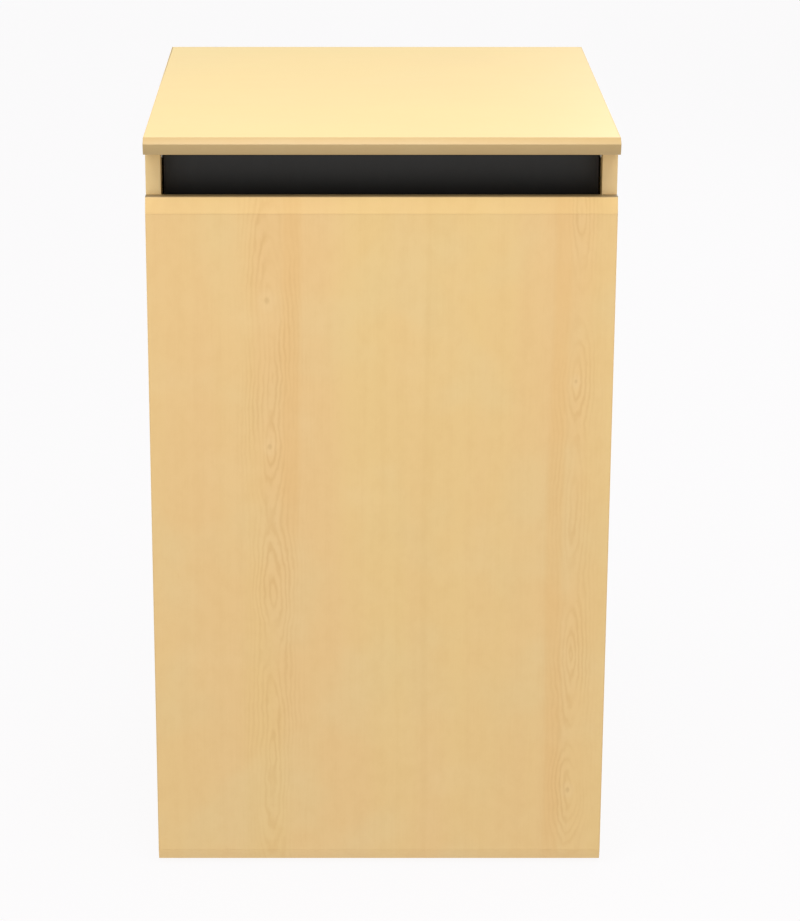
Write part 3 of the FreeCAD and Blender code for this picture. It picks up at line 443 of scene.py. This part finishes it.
def finishes():
    """Each node's material."""
    front = front_figure()
    plain = {"contrast": 0.7, "tint": (MAPLE_PALE, 0.25)}
    sill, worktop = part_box("front_top_lipping")[1].z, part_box("top_front_lipping")[1].z
    under_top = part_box("left_side_edge_bands")[1].z
    # painted shadow from the worktop's overhang on the side panels' front edges, darkest just below the
    # worktop
    shade = [("z", under_top - 24 * MM, under_top, 0.20)]
    ends = {"contrast": 0.7, "tint": (MAPLE_PALE, 0.42), "darkenings": shade}
    # painted shade on the top face of the front's top lipping, deep inside the slot under the worktop
    sill_painted_shade = [("z", sill - 1.7 * MM, sill, 0.85)]
    # the worktop's front lipping darker all over, and darker again below its top bevel
    worktop_darkening = [("z", 0.0, 0.1, 0.32), ("z", worktop - 5.6 * MM, worktop - 6.4 * MM, 0.22)]
    top_hearts = (Heart(0.05, [(0.10, 12)], 0.05, 0.08),)
    left_hearts = (Heart(-0.09, SIDE_EYES, 0.030), Heart(0.20, SIDE_EYES[1:]))
    right_hearts = (Heart(0.03, SIDE_EYES, 0.030), Heart(-0.19, SIDE_EYES[1:]))
    back_hearts = (Heart(-0.13, SIDE_EYES, 0.030), Heart(0.11, SIDE_EYES[1:]))
    made = {
        "front_panel": maple("front_maple", "x", "z", 3.0, **front),
        "front_side_bands": maple("front_band_maple", "x", "z", 11.0, contrast=0.7, tint=(MAPLE_PALE, 0.20)),
        # the front's top lipping: tinted brighter as painted light on its sloped top, with its top face
        # darkened as painted shade
        "front_top_lipping": maple("top_lipping_maple", "x", "z", 3.0, darkenings=sill_painted_shade,
                                   tint=(MAPLE_PAINTED_LIGHT, 0.30), **front),
        "front_bottom_lipping": maple("bottom_lipping_maple", "x", "z", 3.0, **front),
        # the cream tint is partly the top's own paler tone, partly painted light for its brighter lit face
        "top_panel": maple("top_maple", "y", "x", 23.0, top_hearts, contrast=0.6, tint=(MAPLE_CREAM_PAINTED_LIGHT, 0.55),
                           sheen=0.38),
        "top_front_lipping": maple("top_edge_maple", "z", "x", 29.0, contrast=0.8, darkenings=worktop_darkening),
        "top_edge_bands": maple("top_band_maple", "z", "x", 31.0, **plain),
        "left_side_panel": maple("left_maple", "y", "z", 37.0, left_hearts),
        "right_side_panel": maple("right_maple", "y", "z", 41.0, right_hearts),
        "back_panel": maple("back_maple", "x", "z", 43.0, back_hearts),
        "left_side_edge_bands": maple("left_band_maple", "x", "z", 47.0, **ends),
        "right_side_edge_bands": maple("right_band_maple", "x", "z", 53.0, **ends),
        "rear_top_rail": maple("rail_maple", "y", "x", 59.0),
        "back_corner_cleats": maple("cleat_maple", "x", "z", 61.0),
        "chute_cleats": maple("chute_cleat_maple", "z", "y", 67.0),
        "flap_stop_rail": maple("stop_rail_maple", "y", "x", 71.0),
        "platform_stops": maple("stop_block_maple", "y", "z", 73.0),
        "chute_board": chute_dark(),
        "drop_flap": flap_black(),
    }
    side_ply = {"thick": "x", "across": "y", "along": "z"}
    end_ply = {"thick": "y", "across": "x", "along": "z"}
    flat_ply = {"thick": "z", "across": "y", "along": "x"}
    for node, layout, plies in (
        ("trolley_left_wall", side_ply, 9),
        ("trolley_right_wall", side_ply, 9),
        ("trolley_front_wall", end_ply, 9),
        ("trolley_rear_wall", end_ply, 9),
        ("trolley_base", flat_ply, 13),
        ("platform_board", flat_ply, 9),
    ):
        low, thickness = board_span(node, layout["thick"])
        made[node] = plywood(node + "_ply", low=low, ply=thickness / plies, seed=len(made), **layout)
    zinc = metal("zinc_plate", (0.64, 0.64, 0.65), (0.42, 0.41, 0.40), 0.32)
    screw_zinc = metal("screw_zinc", (0.66, 0.64, 0.58), (0.36, 0.34, 0.30), 0.26)
    by_slot = {
        "zinc_plate": zinc, "zinc_screws": screw_zinc,
        "pivot_steel": metal("pivot_steel", (0.58, 0.58, 0.57), (0.34, 0.33, 0.32), 0.24, grain="x"),
        "spring_wire": metal("spring_wire", (0.36, 0.36, 0.37), (0.16, 0.15, 0.14), 0.30),
        "black_rubber": moulded("black_rubber", (0.022, 0.022, 0.022), (0.13, 0.13, 0.12), 0.72, 0.0009),
        "platform_mat": moulded("mat_rubber", (0.026, 0.027, 0.029), (0.11, 0.11, 0.10), 0.74, 0.0010, 0.16),
        "nylon": moulded("natural_nylon", (0.74, 0.72, 0.65), (0.50, 0.48, 0.43), 0.42, 0.0008, 0.3, 0.03),
        "catch_plastic": moulded("catch_plastic", (0.028, 0.028, 0.029), (0.10, 0.10, 0.10), 0.48, 0.0006),
        "caster_wheel": moulded("wheel_nylon", (0.045, 0.045, 0.047), (0.16, 0.15, 0.14), 0.40, 0.0007, 0.45),
    }
    return {node: made.get(node) or by_slot[slot_of[node]] for node in frame["nodes"]}


# ---------------------------------------------------------------- mesh work
def only(piece):
    """Selects one object and nothing else."""
    bpy.ops.object.select_all(action="DESELECT")
    piece.select_set(True)
    bpy.context.view_layer.objects.active = piece


def dressed(piece, node):
    """The piece stands for a node: it takes its material, and the node is hidden."""
    piece.data.materials.clear()
    piece.data.materials.append(materials[node])
    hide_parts(node)
    return piece


TOUCH_GAP = 0.05 * MM
SHARP_TURN = math.radians(28)
SMOOTH_TURN = math.radians(32)


def touches(point, low, high):
    return all(l - TOUCH_GAP <= p <= h + TOUCH_GAP for p, l, h in zip(point, low, high))


def softened(node, radius, beside=(), name=None):
    """A copy of a node with its sharp edges rounded, save those that meet the nodes beside it.

    Solids of one node that touch are merged at their corners, which spoils the bevel there.
    That happens to top_edge_bands. Points that the bevel throws out are put back in the node's box.
    """
    piece = bpy.data.objects.new(name or node + "_eased", frame["nodes"][node].data.copy())
    bpy.context.scene.collection.objects.link(piece)
    only(piece)
    boxes = [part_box(n) for n in beside]
    bpy.ops.object.mode_set(mode="EDIT")
    bpy.ops.mesh.select_all(action="SELECT")
    bpy.ops.mesh.remove_doubles(threshold=0.002 * MM)
    bpy.ops.mesh.dissolve_limited(angle_limit=math.radians(0.5))
    bpy.ops.mesh.select_all(action="DESELECT")
    bpy.ops.mesh.select_mode(type="EDGE")
    bpy.ops.mesh.edges_select_sharp(sharpness=SHARP_TURN)
    bpy.ops.object.mode_set(mode="OBJECT")
    points = piece.data.vertices
    for edge in piece.data.edges:
        middle = (points[edge.vertices[0]].co + points[edge.vertices[1]].co) / 2
        if edge.select and any(touches(middle, *box) for box in boxes):
            edge.select = False
    bpy.ops.object.mode_set(mode="EDIT")
    bpy.ops.mesh.bevel(offset=radius, offset_type="OFFSET", segments=2, profile=0.5, clamp_overlap=True)
    bpy.ops.object.mode_set(mode="OBJECT")
    low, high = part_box(node)
    for point in piece.data.vertices:
        point.co = [min(max(place, l), h) for place, l, h in zip(point.co, low, high)]
    bpy.ops.mesh.customdata_custom_splitnormals_clear()
    bpy.ops.object.shade_smooth_by_angle(angle=SMOOTH_TURN)
    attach(piece, body_of[node])
    return dressed(piece, node)


def boards():
    """Boards, bands and lippings with their arrises taken off by hand."""
    box_walls = ["trolley_base", "trolley_left_wall", "trolley_right_wall"]
    for node, radius, beside in (
        ("top_edge_bands", 0.6, ["top_panel", "top_front_lipping"]),
        ("top_front_lipping", 0.5, ["top_panel", "top_edge_bands"]),
        ("left_side_edge_bands", 0.45, ["left_side_panel"]),
        ("right_side_edge_bands", 0.45, ["right_side_panel"]),
        ("front_side_bands", 0.45, ["front_panel", "front_top_lipping", "front_bottom_lipping"]),
        ("front_top_lipping", 0.5, ["front_panel", "front_side_bands"]),
        ("front_bottom_lipping", 0.5, ["front_panel", "front_side_bands"]),
        ("trolley_left_wall", 1.2, ["trolley_base", "trolley_front_wall", "front_panel"]),
        ("trolley_right_wall", 1.2, ["trolley_base", "trolley_front_wall", "front_panel"]),
        ("trolley_front_wall", 1.2, [*box_walls, "front_panel"]),
        ("trolley_rear_wall", 1.8, box_walls),
        ("platform_board", 1.0, ["platform_glides"]),
        ("chute_board", 0.6, []),
        ("drop_flap", 0.6, ["flap_pivot_rod", "flap_edge_trim"]),
    ):
        softened(node, radius * MM, beside)


def fittings():
    """Pressed, turned and moulded fittings with their edges broken."""
    for node, radius in (
        ("flap_edge_trim", 0.7), ("rear_bumpers", 0.8), ("magnet_catches", 0.6), ("guide_strips", 0.7),
        ("top_brackets", 0.4), ("platform_glides", 0.5), ("platform_stops", 0.8), ("platform_crossbars", 0.5),
        ("spring_hangers", 0.4), ("caster_plates", 0.4),
    ):
        softened(node, radius * MM)
    for corner in CORNERS:
        softened(f"fork_{corner}", 0.4 * MM)


# ---------------------------------------------------------------- springs
SPRING_WIRE = 2.0 * MM
SPRING_TURNS = 51
SPRING_LOOP = 9.0 * MM        # middle of the wire to the loop's centre
WIRE_SIDES = 8


def platform_spring(corner):
    """A coil with a round loop at each end, made at one length; the real spring stretches as the platform
    sinks.
    """
    node = f"spring_{corner}"
    low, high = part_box(node)
    middle = (low + high) / 2
    coil_low = low.z + 2 * SPRING_LOOP + SPRING_WIRE
    coil_high = high.z - 2 * SPRING_LOOP - SPRING_WIRE
    coil_radius = (high.x - low.x) / 2 - SPRING_WIRE / 2
    bpy.ops.object.select_all(action="DESELECT")
    upright = (math.pi / 2, 0, 0)
    bpy.ops.mesh.primitive_circle_add(vertices=WIRE_SIDES, radius=SPRING_WIRE / 2, rotation=upright)
    piece = bpy.context.object
    piece.name = node + "_coil"
    bpy.ops.object.transform_apply()
    bpy.ops.object.mode_set(mode="EDIT")
    bpy.ops.transform.translate(value=(coil_radius, 0, 0))
    bpy.ops.object.mode_set(mode="OBJECT")
    turn = piece.modifiers.new("turns", "SCREW")
    turn.steps = turn.render_steps = 20
    turn.iterations = SPRING_TURNS
    turn.screw_offset = (coil_high - coil_low) / SPRING_TURNS
    turn.use_merge_vertices = False
    bpy.ops.object.modifier_apply(modifier=turn.name)
    piece.data.transform(Matrix.Translation((middle.x, middle.y, coil_low)))
    close_ends(piece)
    loops = [end_loop(Vector((middle.x, middle.y, z))) for z in
             (low.z + SPRING_WIRE / 2 + SPRING_LOOP, high.z - SPRING_WIRE / 2 - SPRING_LOOP)]
    only(piece)
    for loop in loops:
        loop.select_set(True)
    bpy.ops.object.join()
    bpy.ops.object.shade_smooth()
    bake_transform(piece)
    return dressed(piece, node)


def close_ends(piece):
    """Caps a wire's open ends and points its faces outwards."""
    only(piece)
    bpy.ops.object.mode_set(mode="EDIT")
    bpy.ops.mesh.select_all(action="DESELECT")
    bpy.ops.mesh.select_mode(type="EDGE")
    bpy.ops.mesh.select_non_manifold()
    bpy.ops.mesh.edge_face_add()
    bpy.ops.mesh.select_all(action="SELECT")
    bpy.ops.mesh.normals_make_consistent(inside=False)
    bpy.ops.object.mode_set(mode="OBJECT")


def end_loop(centre):
    """A loop of wire, upright and closed all round, whose side nearest the coil meets its end."""
    bpy.ops.object.select_all(action="DESELECT")
    bpy.ops.mesh.primitive_torus_add(
        major_radius=SPRING_LOOP, minor_radius=SPRING_WIRE / 2, major_segments=32, minor_segments=WIRE_SIDES,
        location=centre, rotation=(math.pi / 2, 0, 0))
    loop = bpy.context.object
    bpy.ops.object.transform_apply()
    return loop


# ---------------------------------------------------------------- caster wheels
TREAD = 3.0 * MM
WHEEL_BORE = 3.05 * MM
WHEEL_HUB = 7.0 * MM
TREAD_ROUNDING = 4 * MM
WHEEL_STEPS = 56


def caster_wheel(corner):
    """A wheel turned from one outline: hub, dished web, rim and a rounded tread."""
    node = f"wheel_{corner}"
    low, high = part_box(node)
    middle = (low + high) / 2
    radius, half = (high.z - low.z) / 2, (high.x - low.x) / 2
    bore, hub, rim = WHEEL_BORE, WHEEL_HUB, radius - 2.2 * TREAD
    outline = [(bore, half), (hub - 0.6 * MM, half), (hub, half - 0.6 * MM), (hub, half - 4 * MM),
               (rim - 1.5 * MM, half - 4 * MM), (rim, half - 1.6 * MM), (rim + 1 * MM, half - 1 * MM)]
    edge = half - 1 * MM
    round_r, round_x = radius - TREAD_ROUNDING, edge - TREAD_ROUNDING
    for step in range(1, 7):
        turn = math.radians(15 * step)
        outline.append((round_r + TREAD_ROUNDING * math.sin(turn), round_x + TREAD_ROUNDING * math.cos(turn)))
    ring = outline + [(r, -x) for r, x in reversed(outline)]
    bpy.ops.object.select_all(action="DESELECT")
    bpy.ops.mesh.primitive_circle_add(vertices=len(ring), radius=radius)
    piece = bpy.context.object
    piece.name = node + "_turned"
    for point, (r, x) in zip(piece.data.vertices, ring):
        point.co = (x, 0, r)
    only(piece)
    bpy.ops.object.mode_set(mode="EDIT")
    bpy.ops.mesh.select_all(action="SELECT")
    bpy.ops.mesh.spin(steps=WHEEL_STEPS, angle=2 * math.pi, center=(0, 0, 0), axis=(1, 0, 0))
    bpy.ops.mesh.select_all(action="SELECT")
    bpy.ops.mesh.remove_doubles(threshold=0.01 * MM)
    bpy.ops.mesh.normals_make_consistent(inside=False)
    bpy.ops.object.mode_set(mode="OBJECT")
    piece.data.transform(Matrix.Translation(middle))
    bpy.ops.object.shade_smooth_by_angle(angle=math.radians(30))
    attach(piece, body_of[node])
    return dressed(piece, node)


# ---------------------------------------------------------------- platform mat
RIB_PITCH = 8 * MM
RIB_HEIGHT = 1.6 * MM
CORNER_NOTCH = 46 * MM        # the platform board's corners are cut away by this much round the springs


def ribbed_mat():
    """Fluted rubber matting on the platform: a thin sheet with half-round ribs from front to back."""
    low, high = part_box("platform_mat")
    sheet = softened("platform_mat", 0.4 * MM, name="platform_mat_ribbed")
    for point in sheet.data.vertices:
        if point.co.z > (low.z + high.z) / 2:
            point.co.z -= RIB_HEIGHT
    board_low, board_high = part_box("platform_board")
    notch = CORNER_NOTCH
    inner_x = board_high.x - notch - RIB_PITCH
    ribs = []
    stretches = ((-inner_x, inner_x, 0.0), (inner_x, high.x, notch), (low.x, -inner_x, notch))
    for start_x, end_x, inset in stretches:
        count = int((end_x - start_x - RIB_PITCH / 2) / RIB_PITCH)
        margin = (end_x - start_x - count * RIB_PITCH) / 2 + RIB_PITCH / 2
        ribs.append(rib_row(start_x + margin, count, low.y + inset + 2 * MM, high.y - inset - 2 * MM, high.z))
    only(sheet)
    for rib in ribs:
        rib.select_set(True)
    bpy.ops.object.join()
    return sheet


def rib_row(first_x, count, start_y, end_y, top):
    """A row of half-round ribs beside each other."""
    bpy.ops.object.select_all(action="DESELECT")
    size = (RIB_PITCH * 0.6, end_y - start_y, RIB_HEIGHT + 0.4 * MM)
    centre = (first_x, (start_y + end_y) / 2, top - size[2] / 2)
    bpy.ops.mesh.primitive_cube_add(size=1, location=centre, scale=size)
    row = bpy.context.object
    bpy.ops.object.transform_apply()
    bpy.ops.object.mode_set(mode="EDIT")
    bpy.ops.mesh.select_all(action="DESELECT")
    bpy.ops.object.mode_set(mode="OBJECT")
    for edge in row.data.edges:
        edge.select = all(row.data.vertices[i].co.z > top - 0.01 * MM for i in edge.vertices)
    bpy.ops.object.mode_set(mode="EDIT")
    bpy.ops.mesh.select_mode(type="EDGE")
    bpy.ops.mesh.bevel(offset=RIB_HEIGHT * 0.75, segments=3, profile=0.5)
    bpy.ops.object.mode_set(mode="OBJECT")
    copies = row.modifiers.new("row", "ARRAY")
    copies.count = max(1, count)
    copies.use_relative_offset = False
    copies.use_constant_offset = True
    copies.constant_offset_displace = (RIB_PITCH, 0, 0)
    bpy.ops.object.modifier_apply(modifier=copies.name)
    bpy.ops.object.shade_smooth_by_angle(angle=math.radians(30))
    row.data.materials.append(materials["platform_mat"])
    return row


# ---------------------------------------------------------------- making
def floor():
    bpy.ops.object.select_all(action="DESELECT")
    bpy.ops.mesh.primitive_plane_add(size=FLOOR_SIZE)
    ground = bpy.context.object
    ground.name = "studio_floor"
    ground.data.materials.append(floor_white())


camera()
studio()
materials = finishes()
for name, node in frame["nodes"].items():
    node.data.materials.clear()
    node.data.materials.append(materials[name])
boards()
fittings()
ribbed_mat()
for corner in CORNERS:
    platform_spring(corner)
    caster_wheel(corner)
floor()
